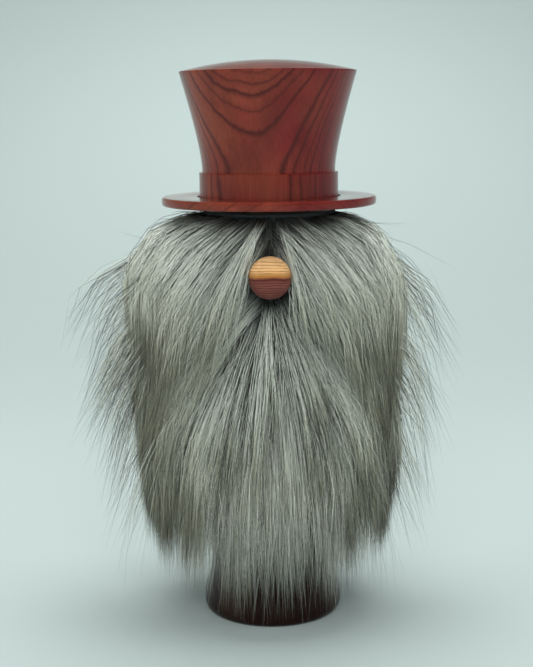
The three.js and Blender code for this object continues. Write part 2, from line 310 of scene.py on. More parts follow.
class Shading:
    """A material with a principled shader, and short calls that add nodes to it."""

    def __init__(self, name, **sockets):
        self.material = bpy.data.materials.new(name)
        self.material.use_nodes = True
        self.tree = self.material.node_tree
        self.shader = self.tree.nodes["Principled BSDF"]
        for socket, value in sockets.items():
            self.shader.inputs[socket.replace("_", " ")].default_value = value

    def put(self, node, socket, value):
        if isinstance(value, bpy.types.NodeSocket):
            self.tree.links.new(value, node.inputs[socket])
        else:
            node.inputs[socket].default_value = value

    def node(self, kind, inputs, output=0, **options):
        made = self.tree.nodes.new("ShaderNode" + kind)
        for option, value in options.items():
            setattr(made, option, value)
        for socket, value in inputs.items():
            self.put(made, socket, value)
        return made.outputs[output]

    def math(self, operation, first, second=0.0, third=0.0):
        return self.node("Math", {0: first, 1: second, 2: third}, operation=operation)

    def place(self, shift=(0, 0, 0), turn=(0, 0, 0)):
        """Object coordinates in millimetres, turned and then shifted."""
        point = self.node("TexCoord", {}, 3)
        mapping = {"Vector": point, "Location": shift, "Rotation": turn, "Scale": (1 / MM,) * 3}
        return self.node("Mapping", mapping)

    def parts(self, point):
        """The X, Y and Z of a point."""
        split = self.tree.nodes.new("ShaderNodeSeparateXYZ")
        self.put(split, 0, point)
        return split.outputs[:]

    def along_map(self):
        """The two coordinates of the piece's own UV map."""
        return self.parts(self.node("UVMap", {}, uv_map=BAKED_MAP))[:2]

    def noise(self, point, cycles, detail=2.0, squeeze=(1, 1, 1)):
        """A noise from 0 to 1, of so many cycles to a millimetre."""
        pulled = self.node("VectorMath", {0: point, 1: squeeze}, operation="MULTIPLY")
        return self.node("TexNoise", {"Vector": pulled, "Scale": cycles, "Detail": detail})

    def span(self, value, low, high, to_low=0.0, to_high=1.0):
        return self.node("MapRange", {0: value, 1: low, 2: high, 3: to_low, 4: to_high})

    def varied(self, noise, to_low, to_high):
        """A noise stretched to a range. It mostly lies between 0.3 and 0.7."""
        return self.span(noise, 0.3, 0.7, to_low, to_high)

    def blend(self, share, first, second, mode="MIX"):
        made = self.tree.nodes.new("ShaderNodeMix")
        made.data_type = "RGBA"
        made.blend_type = mode
        self.put(made, 0, share)
        self.put(made, 6, first if isinstance(first, bpy.types.NodeSocket) else (*first, 1))
        self.put(made, 7, second if isinstance(second, bpy.types.NodeSocket) else (*second, 1))
        return made.outputs[2]

    def toned(self, colour, grey):
        """A colour made lighter or darker by a factor."""
        factor = self.node("CombineXYZ", {0: grey, 1: grey, 2: grey})
        return self.blend(1.0, colour, factor, "MULTIPLY")

    def ramp(self, value, stops):
        """A ramp through greys at (place, grey)."""
        made = self.tree.nodes.new("ShaderNodeValToRGB")
        elements = made.color_ramp.elements
        while len(elements) < len(stops):
            elements.new(1.0)
        for element, (place, grey) in zip(elements, stops):
            element.position = place
            element.color = (grey, grey, grey, 1)
        self.put(made, 0, value)
        return made.outputs[0]

    def colour(self, value):
        self.put(self.shader, "Base Color", value)

    def bump(self, height, distance, strength=1.0):
        inputs = {"Height": height, "Distance": distance * MM, "Strength": strength}
        self.put(self.shader, "Normal", self.node("Bump", inputs))

    def cover(self, piece):
        piece.data.materials.clear()
        piece.data.materials.append(self.material)


def pith_distance(shade, point):
    """Distance from the local Z axis, the tree's pith, in millimetres, with a slow and a fine wander."""
    flat = shade.node("VectorMath", {0: point, 1: (1, 1, 0)}, operation="MULTIPLY")
    distance = shade.node("VectorMath", {0: flat}, 1, operation="LENGTH")
    slow = shade.span(shade.noise(point, 0.05, 1.0, (1, 1, 0.6)), 0, 1, -1.2, 1.2)
    fine = shade.span(shade.noise(point, 0.4, 2.0, (1, 1, 0.5)), 0, 1, -0.35, 0.35)
    return shade.math("ADD", distance, shade.math("ADD", slow, fine))


def fibres(shade, point):
    """Fine streaks along the local Z axis, from 0 to 1."""
    return shade.noise(point, 1.7, 3.0, (1, 1, 0.04))


def even_rings(shade, distance, spacing):
    """Growth rings at a wandering spacing. Each darkens slowly and ends sharply."""
    inputs = {"W": distance, "Scale": 0.5 / spacing, "Detail": 1.0}
    drift = shade.node("TexNoise", inputs, noise_dimensions="1D")
    count = shade.math("MULTIPLY_ADD", drift, 2.5, shade.math("MULTIPLY", distance, 1 / spacing))
    stops = [(0.0, 0.0), (0.55, 0.05), (0.82, 0.35), (0.90, 1.0), (0.95, 0.9), (1.0, 0.0)]
    return shade.ramp(shade.math("FRACT", count), stops)


def placed_rings(shade, distance, low, high, rings):
    """Growth rings where they are wanted. rings are (distance, darkness, width), in millimetres.

    A ring darkens over 1.3 of its width up to its place and is gone 0.8 of its width further on.
    """
    stops = []
    for place, darkness, width in sorted(rings):
        stops += [(place - 1.5 * width, 0.0), (place - 0.2 * width, darkness), (place + 0.6 * width, 0.0)]
    along = [((place - low) / (high - low), grey) for place, grey in stops]
    return shade.ramp(shade.span(distance, low, high), along)


# ---------------------------------------------------------------- hat


def turn_crown(hat):
    """Mortise, tenon, seat, band, waist, the flare's curve up to the rim, and the low dome."""
    band, waist, tenon, mortise, top = in_mm(hat, "band", "waist", "tenon", "mortise", "mortise_top")
    bevel, gap, recess = in_mm(hat, "band_bevel", "gap", "recess")
    above_brim = in_mm(hat, "band_height", "flare_start", "rim_height")
    band_top, flare, rim_height = (BRIM_HIGH[2] + height for height in above_brim)
    bottom, apex, rim = BRIM_LOW[2], CROWN_HIGH[2], CROWN_HIGH[0]
    seat = BRIM_HIGH[2] - recess + gap
    return turned("crown", outline_of(
        [0, top],
        [mortise, top],
        [mortise, bottom],
        [tenon, bottom],
        [tenon, seat],
        [band, seat],
        bezier([band, band_top - bevel], [band, band_top], [band - bevel, band_top], steps=4),
        [waist + BROKEN_EDGE, band_top],
        bezier([waist, band_top + 2 * BROKEN_EDGE], [waist, flare], [rim, rim_height], steps=40),
        bezier([rim, rim_height], [rim, rim_height + bevel], [rim - bevel, rim_height + bevel], steps=5),
        bezier([rim - bevel, rim_height + bevel], [rim / 2, apex], [0.4, apex], steps=28),
        [0, apex],
    ))


def turn_brim(hat):
    """A thin disc with rounded edges, a centre hole and a shallow recess that seats the crown."""
    tenon, gap, edge, band = in_mm(hat, "tenon", "gap", "brim_round", "band")
    recess, groove = in_mm(hat, "recess", "groove")
    low, high, rim = BRIM_LOW[2], BRIM_HIGH[2], BRIM_HIGH[0]
    hole = tenon + gap
    seat = band + groove
    return turned("brim", outline_of(
        [hole, low],
        bezier([rim - edge, low], [rim, low], [rim, low + edge], steps=6),
        bezier([rim, high - edge], [rim, high], [rim - edge, high], steps=6),
        bezier([seat + BROKEN_EDGE, high], [seat, high], [seat, high - BROKEN_EDGE], steps=3),
        [seat, high - recess],
        [hole, high - recess],
    ))


def cedar(name, shift, turn, rings, low, high):
    """Polished red cedar whose growth rings run round a pith that lies outside the piece."""
    hat = bpy.context.scene.gnome.hat
    polish = {"Coat_Weight": 1.0, "Coat_IOR": 1.24, "Coat_Roughness": 0.09}
    shade = Shading(name, Roughness=0.36, Specular_IOR_Level=0.1, **polish)
    point = shade.place(shift, turn)
    side = shade.parts(shade.place())[0]
    distance = pith_distance(shade, point)
    patches = shade.varied(shade.noise(point, 0.05), -0.3, 0.3)
    deep = shade.node("Clamp", {0: shade.math("ADD", shade.span(side, -34, 30), patches)})
    base = shade.blend(deep, hat.wood, hat.deep_wood)
    cloud = shade.varied(shade.noise(point, 0.09, 3.0, (1, 1, 0.3)), 0.78, 1.22)
    grain = shade.varied(fibres(shade, point), 0.84, 1.16)
    wood = shade.toned(base, shade.math("MULTIPLY", cloud, grain))
    faint = shade.math("MULTIPLY", even_rings(shade, distance, 2.3), 0.20)
    dark = shade.math("MAXIMUM", placed_rings(shade, distance, low, high, rings), faint)
    shade.colour(shade.blend(dark, wood, hat.ring))
    shade.bump(fibres(shade, point), 0.02, 0.25)
    return shade


# ---------------------------------------------------------------- fur

# How the fur lies on the cloth, in rows: bearing from the front in degrees, positive towards +X, and
# height; the strand's direction at its root and at its tip, each as away from the front, outwards and
# up; and its length.
HAIR_LIE = np.array([
    [-8, 190, 0.72, 0.4, -0.4, 0.56, 0.12, -0.82, 88],
    [8, 190, 0.72, 0.4, -0.4, 0.52, 0.12, -0.84, 88],
    [-8, 172, 0.7, 0.34, -0.52, 0.58, 0.12, -0.8, 86],
    [8, 172, 0.68, 0.34, -0.52, 0.5, 0.12, -0.84, 86],
    [-10, 155, 0.64, 0.3, -0.62, 0.56, 0.1, -0.82, 84],
    [10, 155, 0.62, 0.3, -0.62, 0.42, 0.1, -0.88, 84],
    [-45, 191, 0.5, 0.8, -0.04, 0.36, 0.3, -0.86, 92],
    [45, 191, 0.42, 0.8, -0.04, 0.24, 0.2, -0.93, 90],
    [-45, 174, 0.5, 0.72, -0.4, 0.32, 0.2, -0.9, 90],
    [45, 174, 0.42, 0.68, -0.46, 0.22, 0.16, -0.95, 90],
    [-45, 156, 0.46, 0.64, -0.56, 0.3, 0.16, -0.92, 90],
    [45, 156, 0.42, 0.6, -0.6, 0.2, 0.14, -0.95, 90],
    [-90, 192, 0, 0.96, 0.16, 0, 0.36, -0.93, 108],
    [-90, 180, 0, 0.92, -0.2, 0, 0.2, -0.98, 98],
    [-90, 166, 0, 0.86, -0.4, 0, 0.12, -0.99, 96],
    [-90, 152, 0, 0.78, -0.5, 0, 0.06, -1, 92],
    [90, 192, 0, 0.94, 0.2, 0, 0.12, -0.99, 90],
    [90, 180, 0, 0.84, -0.3, 0, 0.06, -0.99, 90],
    [90, 166, 0, 0.76, -0.48, 0, 0.06, -0.99, 90],
    [90, 152, 0, 0.7, -0.56, 0, 0.06, -0.99, 92],
    [-135, 190, 0, 0.9, 0.1, 0, 0.22, -0.96, 92],
    [135, 190, 0, 0.9, 0.1, 0, 0.16, -0.98, 90],
    [-135, 172, 0, 0.78, -0.4, 0, 0.1, -0.98, 90],
    [135, 172, 0, 0.78, -0.4, 0, 0.08, -0.99, 90],
    [-135, 155, 0, 0.72, -0.55, 0, 0.08, -0.98, 92],
    [135, 155, 0, 0.72, -0.55, 0, 0.08, -0.98, 92],
    [180, 190, 0, 0.88, 0.04, 0, 0.14, -0.98, 90],
    [180, 172, 0, 0.76, -0.42, 0, 0.08, -0.99, 90],
    [180, 155, 0, 0.7, -0.58, 0, 0.06, -0.99, 90],
])
BEARD_LIE = np.array([
    [0, 148, 0, 0.46, -0.64, 0, 0.1, -0.99, 98],
    [-15, 146, 0.62, 0.42, -0.6, 0.36, 0.1, -0.92, 94],
    [15, 146, 0.68, 0.4, -0.56, 0.46, 0.1, -0.88, 94],
    [-34, 145, 0.8, 0.36, -0.5, 0.58, 0.14, -0.78, 97],
    [34, 145, 0.88, 0.32, -0.4, 0.66, 0.12, -0.7, 97],
    [-62, 142, 0.45, 0.74, -0.5, 0.26, 0.16, -0.93, 102],
    [62, 142, 0.5, 0.72, -0.5, 0.28, 0.16, -0.93, 102],
    [-95, 143, 0, 0.92, -0.42, 0, 0.1, -0.99, 108],
    [95, 143, 0, 0.9, -0.44, 0, 0.09, -0.99, 106],
    [-95, 128, 0, 0.86, -0.52, 0, 0.1, -1, 100],
    [95, 128, 0, 0.84, -0.54, 0, 0.09, -1, 98],
    [-95, 114, 0, 0.74, -0.68, 0, 0.02, -1, 88],
    [95, 114, 0, 0.7, -0.7, 0, 0.02, -1, 86],
    [-95, 105, 0, 0.5, -0.8, 0, -0.02, -1, 80],
    [95, 105, 0, 0.48, -0.8, 0, -0.02, -1, 80],
    [-48, 128, 0.42, 0.58, -0.68, 0.2, 0.08, -0.97, 98],
    [48, 128, 0.44, 0.56, -0.68, 0.22, 0.08, -0.97, 98],
    [-45, 108, 0.1, 0.44, -0.88, 0, 0, -1, 90],
    [45, 108, 0.1, 0.44, -0.88, 0, 0, -1, 90],
    [0, 128, 0, 0.44, -0.84, 0, 0.06, -1, 101],
    [0, 108, 0, 0.4, -0.9, 0, 0, -1, 96],
    [180, 142, 0, 0.78, -0.58, 0, 0.08, -0.99, 96],
    [180, 124, 0, 0.66, -0.7, 0, 0.04, -1, 94],
    [180, 107, 0, 0.5, -0.86, 0, 0, -1, 92],
])
HAIR_LOCKS = {
    "hair_front_left": (-60, 0),
    "hair_front_right": (0, 60),
    "hair_left": (-130, -60),
    "hair_right": (60, 130),
    "hair_back_left": (-180, -130),
    "hair_back_right": (130, 180),
}
BEARD_LOCKS = {
    "beard_front": (-42, 42),
    "beard_left": (-118, -42),
    "beard_right": (42, 118),
    "beard_back_left": (-180, -118),
    "beard_back_right": (118, 180),
}
MOST_STRANDS = 9000  # in one piece
OUTLINE = np.array([  # height, and how far the thick of the fur comes out at the sides
    [0, 58], [30, 60], [60, 64], [90, 66], [120, 67], [145, 69],
    [162, 71], [176, 68], [184, 62], [190, 57], [195, 51],
])
RIGHT_SIDE = 0.94  # of the left side's reach
FRONT_DRAW = 0.14  # how much less the fur comes out in front, and more behind, than at the sides
WING_REACH = 69.0  # millimetres, the same at every height, for locks that are flung out
FLUNG_FROM = 1.07  # share of the outline that only flung locks may pass
FLUNG_SIDE = (88, 36)  # degrees from the front, and how far to each side of that locks may be flung out
FLUNG_HEIGHT = (150, 186)  # of the hair's flung locks; the beard is below
FLUNG_SHARE = [0.135, 0.05, 0.025]  # of the locks on the hair's left, its right and the beard's sides
FLUNG_MOST = [0.80, 0.75, 0.35]  # how far the furthest of each goes
ALLOWED = (0.98, 0.03, 1.05)  # how far out other locks may come, of the outline: mean, spread and most
FLUNG_ALLOWED = (1.12, 0.50, 1.45)  # flung locks: least, how much more by their fling, and most
PARTING_WIDTH = 8.0  # degrees over which the fur turns from one side to the other
NEAR_PARTING = 8  # degrees within which a lock keeps to its own line
REACH_ROUND = 20.0  # degrees over which a row of the lie is felt
REACH_UP = 9.0  # millimetres over which it is felt
LOCK_STEPS = 24  # of a lock's line
LINE_LENGTH = 1.08  # of a lock's line, against the length in its row
SWAY, LIFT = 0.11, 0.07  # sideways and outwards ripples of the locks, against the direction they lie in
CURL = (0.035, 0.03)  # the same for each lock's own slow turn
LOBE_UP, LOBE_ROUND = 17, 13  # millimetres between lobes, the broad shapes that locks gather into
LOBE_GATHER = 0.42  # how far a lobe's locks draw together at their tips
LOBE_SHARE = 0.55  # how far a lock follows its lobe and not its own line
STRAND_REACH = (0.92, 0.11, 0.45)  # a strand's length against its lock's: mean, spread and least
LOOSE_SHARE, LOOSE_STRAY = 0.09, 2.6  # strands that stray more than the rest, and how much more
UNDERCOAT_SHARE = 0.17
UNDERCOAT_REACH = (0.20, 0.42)  # of the lock's length
GUARD_SHARE = 0.15  # dark strands among the pale ones
MIDDLE_TONE = 0.50
STRAND_TONE, LOCK_TONE, LOBE_TONE, RIPPLE_TONE = 0.13, 0.08, 0.13, 0.10  # how far each shifts it
DARK_TONES = (0.01, 0.13)
PALE_TONES = (0.17, 0.83)
TRIMMED_AND_LIT_TONES = (0.87, 0.985)  # pale to the very tip, and painted brighter as painted light on the shaded bottom of the beard
PALE_LOBE = (-32, 26, 0.32)  # the hair's palest place: its bearing, its width in degrees and how much paler
WHORL = (12, 143, 7, 0.35)  # dark roots under the nose: degrees each way, height, half its height, and share
FLUNG_DARK = 0.45  # of the flung strands
FRINGE = (34, -10, 40, 0.7)  # tips over the foot: within x, before y, below z, and the share of them kept pale to the tip and painted brighter
POST_ROOM = 1.9  # millimetres kept clear of the post
NOSE_ROOM = 0.7
STRAND_STOPS = np.array([0.0, 0.12, 0.29, 0.58, 1.0])  # along a strand
STRAND_GIRTH = np.array([0.8, 1.0, 1.0, 0.8])  # against its radius
SIDES = 3
MAP_WIDTH = 0.0012  # of one side of a strand on its map
ROOT_DEPTH = 0.3  # of a strand's start in the cloth
CLOTH_THICKNESS = 1.2
WALES = 40  # columns of loops round the cloth
COURSE = 6.0  # millimetres between its rows of loops
LOOP_DEPTH = 0.1


def apart(bearings, others):
    """The angle from one bearing to another, from -180 to 180 degrees."""
    return (bearings - others + 180) % 360 - 180


def eased(t):
    """From 0 to 1, fast and then slowly: 1 - (1 - t)^2."""
    return 1 - (1 - t) ** 2


def sine_cosine(bearing):
    """The sine and cosine of a bearing in degrees."""
    radians = np.radians(bearing)
    return np.sin(radians), np.cos(radians)


def ripple(bearing, height, phase, waves):
    """A smooth wander over the cloth, from about -1 to 1: a mean of sines of bearing and height."""
    total = 0
    for k, (round_waves, up_waves) in enumerate(waves):
        total = total + np.sin(np.radians(bearing) * round_waves + height * up_waves + phase + 2.1 * k)
    return total / len(waves)


def scattered(low, high, up, around, stray, rng):
    """Bearings and heights all over the cloth: one to each cell of a grid, somewhere round its middle."""
    rows = round((high - low) / up)
    columns = round(2 * math.pi * CLOTH_RADIUS / around)
    row, column = np.indices((rows, columns)).reshape(2, -1)
    height = low + (row + 0.5 + rng.uniform(-0.4, 0.4, rows * columns)) / rows * (high - low)
    bearing = (column + 0.5 + rng.uniform(-stray, stray, rows * columns)) / columns * 360 - 180
    return bearing, height


def lie_at(lie, bearing, height):
    """Start and end directions and lengths at the roots.

    They are the mean of the rows of the lie, each with the weight of a bell curve round its own place.
    """
    off_round = apart(bearing[:, None], lie[:, 0]) / REACH_ROUND
    off_up = (height[:, None] - lie[:, 1]) / REACH_UP
    weight = np.exp(-(off_round**2 + off_up**2) / 2) + 1e-9
    mean = weight @ lie[:, 2:] / weight.sum(axis=1, keepdims=True)
    return mean[:, 0:3], mean[:, 3:6], mean[:, 6]


def lock_lines(lie, bearing, height, fling, rng):
    """The locks' centre lines, as points from the root on.

    The direction at t is start (1 - w) + end w, with w = 1 - (1 - t)^2. Added to it are a ripple that
    neighbours share, a slow turn of each lock's own, and the fling outwards.
    """
    t = (np.arange(LOCK_STEPS) + 0.5) / LOCK_STEPS
    start, end, lengths = lie_at(lie, bearing, height)
    share = eased(t)[None, :, None]
    local = start[:, None, :] * (1 - share) + end[:, None, :] * share
    sway = ripple(bearing, height, 0.0, [(5, 0.07), (9, -0.11), (14, 0.05)])[:, None]
    sway = sway + 0.45 * rng.normal(size=(len(bearing), 1))
    lift = ripple(bearing, height, 1.7, [(7, 0.13), (11, -0.06), (17, 0.10)])[:, None]
    lift = lift + 0.4 * rng.normal(size=(len(bearing), 1))
    turn = 2 * math.pi * (0.6 * t + rng.random((len(bearing), 1)))
    local[:, :, 0] += SWAY * sway + CURL[0] * np.sin(turn)
    local[:, :, 1] += LIFT * lift * (1 - 0.5 * t) + CURL[1] * np.cos(turn)
    local[:, :, 1] += fling[:, None] * (0.15 + 0.85 * t)
    local /= np.linalg.norm(local, axis=2, keepdims=True)
    sine, cosine = sine_cosine(bearing)
    side = np.tanh((bearing + rng.normal(size=len(bearing)) * 3.5) / PARTING_WIDTH)
    away = np.stack([side * cosine, side * sine, 0 * side], axis=1)
    out = np.stack([sine, -cosine, 0 * side], axis=1)
    step = local[:, :, :1] * away[:, None] + local[:, :, 1:2] * out[:, None]
    step[:, :, 2] += local[:, :, 2]
    step *= (LINE_LENGTH * lengths / LOCK_STEPS)[:, None, None]
    root = np.stack([out[:, 0] * CLOTH_RADIUS, out[:, 1] * CLOTH_RADIUS, height], axis=1)
    return np.concatenate([root[:, None], root[:, None] + np.cumsum(step, axis=1)], axis=1)


def fling_of(bearing, height, rng):
    """How far a lock is flung out beyond the rest: nothing for most, more on the left of the hair."""
    beside = np.abs(np.abs(bearing) - FLUNG_SIDE[0]) < FLUNG_SIDE[1]
    hair = beside & (height > FLUNG_HEIGHT[0]) & (height < FLUNG_HEIGHT[1])
    places = [hair & (bearing < 0), hair & (bearing > 0), beside & (height < FLUNG_HEIGHT[0])]
    flung = rng.random(len(bearing)) < np.select(places, FLUNG_SHARE, 0.0)
    most = np.select(places, FLUNG_MOST, 0.0)
    return np.where(flung, rng.uniform(0.35, 1.0, len(bearing)) * most, 0.0)


def nearest_lobe(bearing, height, lobe_bearing, lobe_height):
    """Which lobe each lock belongs to: the nearest on its own side of the parting."""
    round_by = np.radians(apart(bearing[:, None], lobe_bearing)) * CLOTH_RADIUS
    across_parting = (bearing[:, None] > 0) != (lobe_bearing > 0)
    far = np.hypot(round_by, 0.7 * (height[:, None] - lobe_height)) + 1000 * across_parting
    return np.argmin(far, axis=1)


class Locks:
    """The locks of one wrap: where each is rooted, its line, its tone, and how its strands keep to it.

    A lock's line is drawn towards its lobe's line, which neighbours share. allowed is how far out it may
    come, as a share of the fur's outline.
    """

    def __init__(self, lie, low, high, rng):
        fur = bpy.context.scene.gnome.fur
        spacing = fur.lock_spacing / MM
        self.bearing, self.height = scattered(low, high, spacing, spacing, 0.4, rng)
        self.count = len(self.bearing)
        lobe_bearing, lobe_height = scattered(low, high, LOBE_UP, LOBE_ROUND, 0.35, rng)
        lobes = len(lobe_bearing)
        lobe = nearest_lobe(self.bearing, self.height, lobe_bearing, lobe_height)
        fling = fling_of(self.bearing, self.height, rng)
        self.flung = fling > 0
        lines = lock_lines(lie, self.bearing, self.height, fling, rng)
        lobe_lines = lock_lines(lie, lobe_bearing, lobe_height, np.zeros(lobes), rng)[lobe]
        together = LOBE_GATHER * eased(np.linspace(0, 1, lines.shape[1])[None, :, None])
        beside_lobe = lobe_lines + (lines[:, :1] - lobe_lines[:, :1]) * (1 - together)
        alone = self.flung | (np.abs(self.bearing) < NEAR_PARTING)
        joined = np.where(alone, 0.0, LOBE_SHARE)[:, None, None]
        self.lines = lines * (1 - joined) + beside_lobe * joined
        mean, spread, most = ALLOWED
        kept_in = np.minimum(rng.normal(mean, spread, self.count), most)
        self.allowed = np.where(self.flung, FLUNG_ALLOWED[0] + FLUNG_ALLOWED[1] * fling, kept_in)
        self.tone = rng.normal(size=self.count) * LOCK_TONE + (rng.normal(size=lobes) * LOBE_TONE)[lobe]
        waves = [(8, 0.10), (13, -0.07), (21, 0.16)]
        self.tone += RIPPLE_TONE * ripple(self.bearing, self.height, 0.6, waves)
        self.gather = fur.gather * rng.uniform(0.6, 1.25, self.count) * np.where(self.flung, 0.3, 1.0)


def held_in(points, allowed):
    """Draws the points in to the fur's outline.

    From soft, 0.8 of the limit, the radius grows as soft + (limit - soft) tanh((r - soft) / (limit - soft)).
    """
    radius = np.maximum(np.hypot(points[..., 0], points[..., 1]), 1e-6)
    sideways = 1 + FRONT_DRAW * points[..., 1] / radius
    thick = np.interp(points[..., 2], OUTLINE[:, 0], OUTLINE[:, 1])
    limit = np.where(allowed[:, None] > FLUNG_FROM, WING_REACH, thick) * sideways * allowed[:, None]
    limit = limit * np.where(points[..., 0] > 0, RIGHT_SIDE, 1.0)
    soft = 0.8 * limit
    drawn = soft + (limit - soft) * np.tanh((radius - soft) / (limit - soft))
    points[..., :2] *= (np.where(radius > soft, drawn, radius) / radius)[..., None]
    return points


def nose_reach(depth, spare):
    """How far the nose reaches from its axis at a depth y, with room to spare.

    It is the full radius before the nose's middle, and sqrt(R^2 - (y - middle)^2) behind it.
    """
    radius = NOSE_RADIUS + spare
    behind = np.maximum(depth - NOSE_MIDDLE[1], 0)
    return np.sqrt(np.maximum(radius**2 - behind**2, 0))


def clear_of_wood(points, post_outline):
    """Moves points out of the post, the nose's way in from the front, the brim and the floor."""
    radius = np.hypot(points[..., 0], points[..., 1])
    wall = np.interp(points[..., 2], post_outline[:, 1], post_outline[:, 0]) + POST_ROOM
    points[..., :2] *= (np.maximum(radius, wall) / np.maximum(radius, 1e-6))[..., None]
    off = points[..., [0, 2]] - NOSE_MIDDLE[[0, 2]]
    distance = np.hypot(off[..., 0], off[..., 1])
    clear = nose_reach(points[..., 1], NOSE_ROOM)
    near = (points[..., 1] < 0) & (distance < clear)
    pushed = off * (clear / np.maximum(distance, 1e-3))[..., None] + NOSE_MIDDLE[[0, 2]]
    points[..., [0, 2]] = np.where(near[..., None], pushed, points[..., [0, 2]])
    under_brim = np.hypot(points[..., 0], points[..., 1]) < BRIM_HIGH[0] + 1
    points[..., 2] = np.clip(points[..., 2], 2.0, np.where(under_brim, BRIM_LOW[2] - 0.5, BRIM_HIGH[2]))
    return points


def crosses_nose(points):
    """Whether a strand passes through the nose, tried at five places along each of its stretches."""
    part = np.linspace(0, 1, 5)[None, None, :, None]
    between = points[:, :-1, None] * (1 - part) + points[:, 1:, None] * part
    between = between.reshape(len(points), -1, 3)
    off = np.hypot(between[..., 0] - NOSE_MIDDLE[0], between[..., 2] - NOSE_MIDDLE[2])
    return ((off < nose_reach(between[..., 1], 0.3)) & (between[..., 1] < 0)).any(axis=1)


def plant(locks, low, high, count, rng):
    """Each strand's lock, bearing and root, round the lock's own root and never behind the nose."""
    lock = rng.integers(locks.count, size=count)
    jitter = rng.uniform(-0.85, 0.85, (count, 2)) * (bpy.context.scene.gnome.fur.lock_spacing / MM)
    bearing = apart(locks.bearing[lock] + np.degrees(jitter[:, 0] / CLOTH_RADIUS), 0)
    height = np.clip(locks.height[lock] + jitter[:, 1], low, high)
    sine, cosine = sine_cosine(bearing)
    inside = CLOTH_RADIUS - ROOT_DEPTH
    root = np.stack([inside * sine, -inside * cosine, height], axis=1)
    under_nose = np.hypot(root[:, 0], root[:, 2] - NOSE_MIDDLE[2]) < NOSE_RADIUS - 1.0
    kept = ~(under_nose & (root[:, 1] < 0))
    return lock[kept], bearing[kept], root[kept]


def strand_paths(locks, lock, root, rng):
    """Each strand's points, and whether it is one of the short undercoat.

    A strand follows its lock's line, beside it by its root's offset, which shrinks towards the tip. Each
    also strays as t^1.6 and bows as sin(pi t).
    """
    wander = bpy.context.scene.gnome.fur.wander / MM
    count = len(lock)
    under = rng.random(count) < UNDERCOAT_SHARE
    short = rng.uniform(*UNDERCOAT_REACH, count)
    mean, spread, least = STRAND_REACH
    reach = np.where(under, short, np.clip(rng.normal(mean, spread, count), least, LINE_LENGTH))
    place = STRAND_STOPS[None, :] * reach[:, None] / LINE_LENGTH * LOCK_STEPS
    before = np.clip(place.astype(int), 0, LOCK_STEPS - 1)
    part = (place - before)[..., None]
    middle = locks.lines[lock[:, None], before] * (1 - part) + locks.lines[lock[:, None], before + 1] * part
    offset = root - locks.lines[lock, 0]
    t = STRAND_STOPS[None, :, None]
    drawn = np.minimum(locks.gather[lock], 0.95)[:, None, None] * eased(t)
    loose = (rng.random(count) < LOOSE_SHARE) | locks.flung[lock]
    stray = rng.normal(size=(count, 3)) * wander * np.where(loose, LOOSE_STRAY, 1.0)[:, None]
    stray = stray * np.array([1, 1, 0.7])
    bow = rng.normal(size=(count, 3))
    points = middle + offset[:, None] * (1 - drawn)
    points += stray[:, None] * t**1.6 + bow[:, None] * np.sin(math.pi * t)
    allowed = locks.allowed[lock] * np.clip(rng.normal(1.0, 0.02, count), 0.96, 1.01)
    return held_in(points, np.minimum(allowed, FLUNG_ALLOWED[2])), under


def strand_tones(locks, lock, bearing, points, under, rng):
    """Each strand's tone, for its map: dark, one of the pale ones, or pale to its tip and painted brighter
    as painted light.
    """
    count = len(lock)
    root_height = points[:, 0, 2]
    middle, width, paler = PALE_LOBE
    pale_lobe = paler * np.exp(-(((bearing - middle) / width) ** 2)) * (root_height > FLUNG_HEIGHT[0])
    tone = MIDDLE_TONE + pale_lobe + locks.tone[lock] + rng.normal(size=count) * STRAND_TONE
    tone = np.clip(tone, *PALE_TONES)
    guard = under | (rng.random(count) < GUARD_SHARE)
    tone = np.where(guard, rng.uniform(*DARK_TONES, count), tone)
    each_way, middle, half_height, share = WHORL
    whorl = (np.abs(bearing) < each_way) & (np.abs(root_height - middle) < half_height)
    dark_flung = (rng.random(count) < FLUNG_DARK) & locks.flung[lock]
    dark_whorl = (rng.random(count) < share) & whorl
    tone = np.where(dark_flung | dark_whorl, rng.uniform(*DARK_TONES, count), tone)
    x, y, z = points[:, -1].T
    within, before, below, share = FRINGE
    fringe = (z < below) & (y < before) & (np.abs(x) < within)
    # Painted light: a share of the fringe strands over the foot are pale to the tip and painted brighter
    # than the rest, where the overhanging fur shades them.
    trimmed_and_lit = fringe & (rng.random(count) < share)
    return np.where(trimmed_and_lit, rng.uniform(*TRIMMED_AND_LIT_TONES, count), tone)


def grow_fur(lie, low, high, count, seed, post_outline):
    """Bearings, paths and tones of the strands on one wrap."""
    rng = np.random.default_rng(seed)
    locks = Locks(lie, low, high, rng)
    lock, bearing, root = plant(locks, low, high, count, rng)
    points, under = strand_paths(locks, lock, root, rng)
    points[:, 1:] = clear_of_wood(points[:, 1:], post_outline)
    kept = ~crosses_nose(points)
    lock, bearing, points, under = lock[kept], bearing[kept], points[kept], under[kept]
    return bearing, points, strand_tones(locks, lock, bearing, points, under, rng)


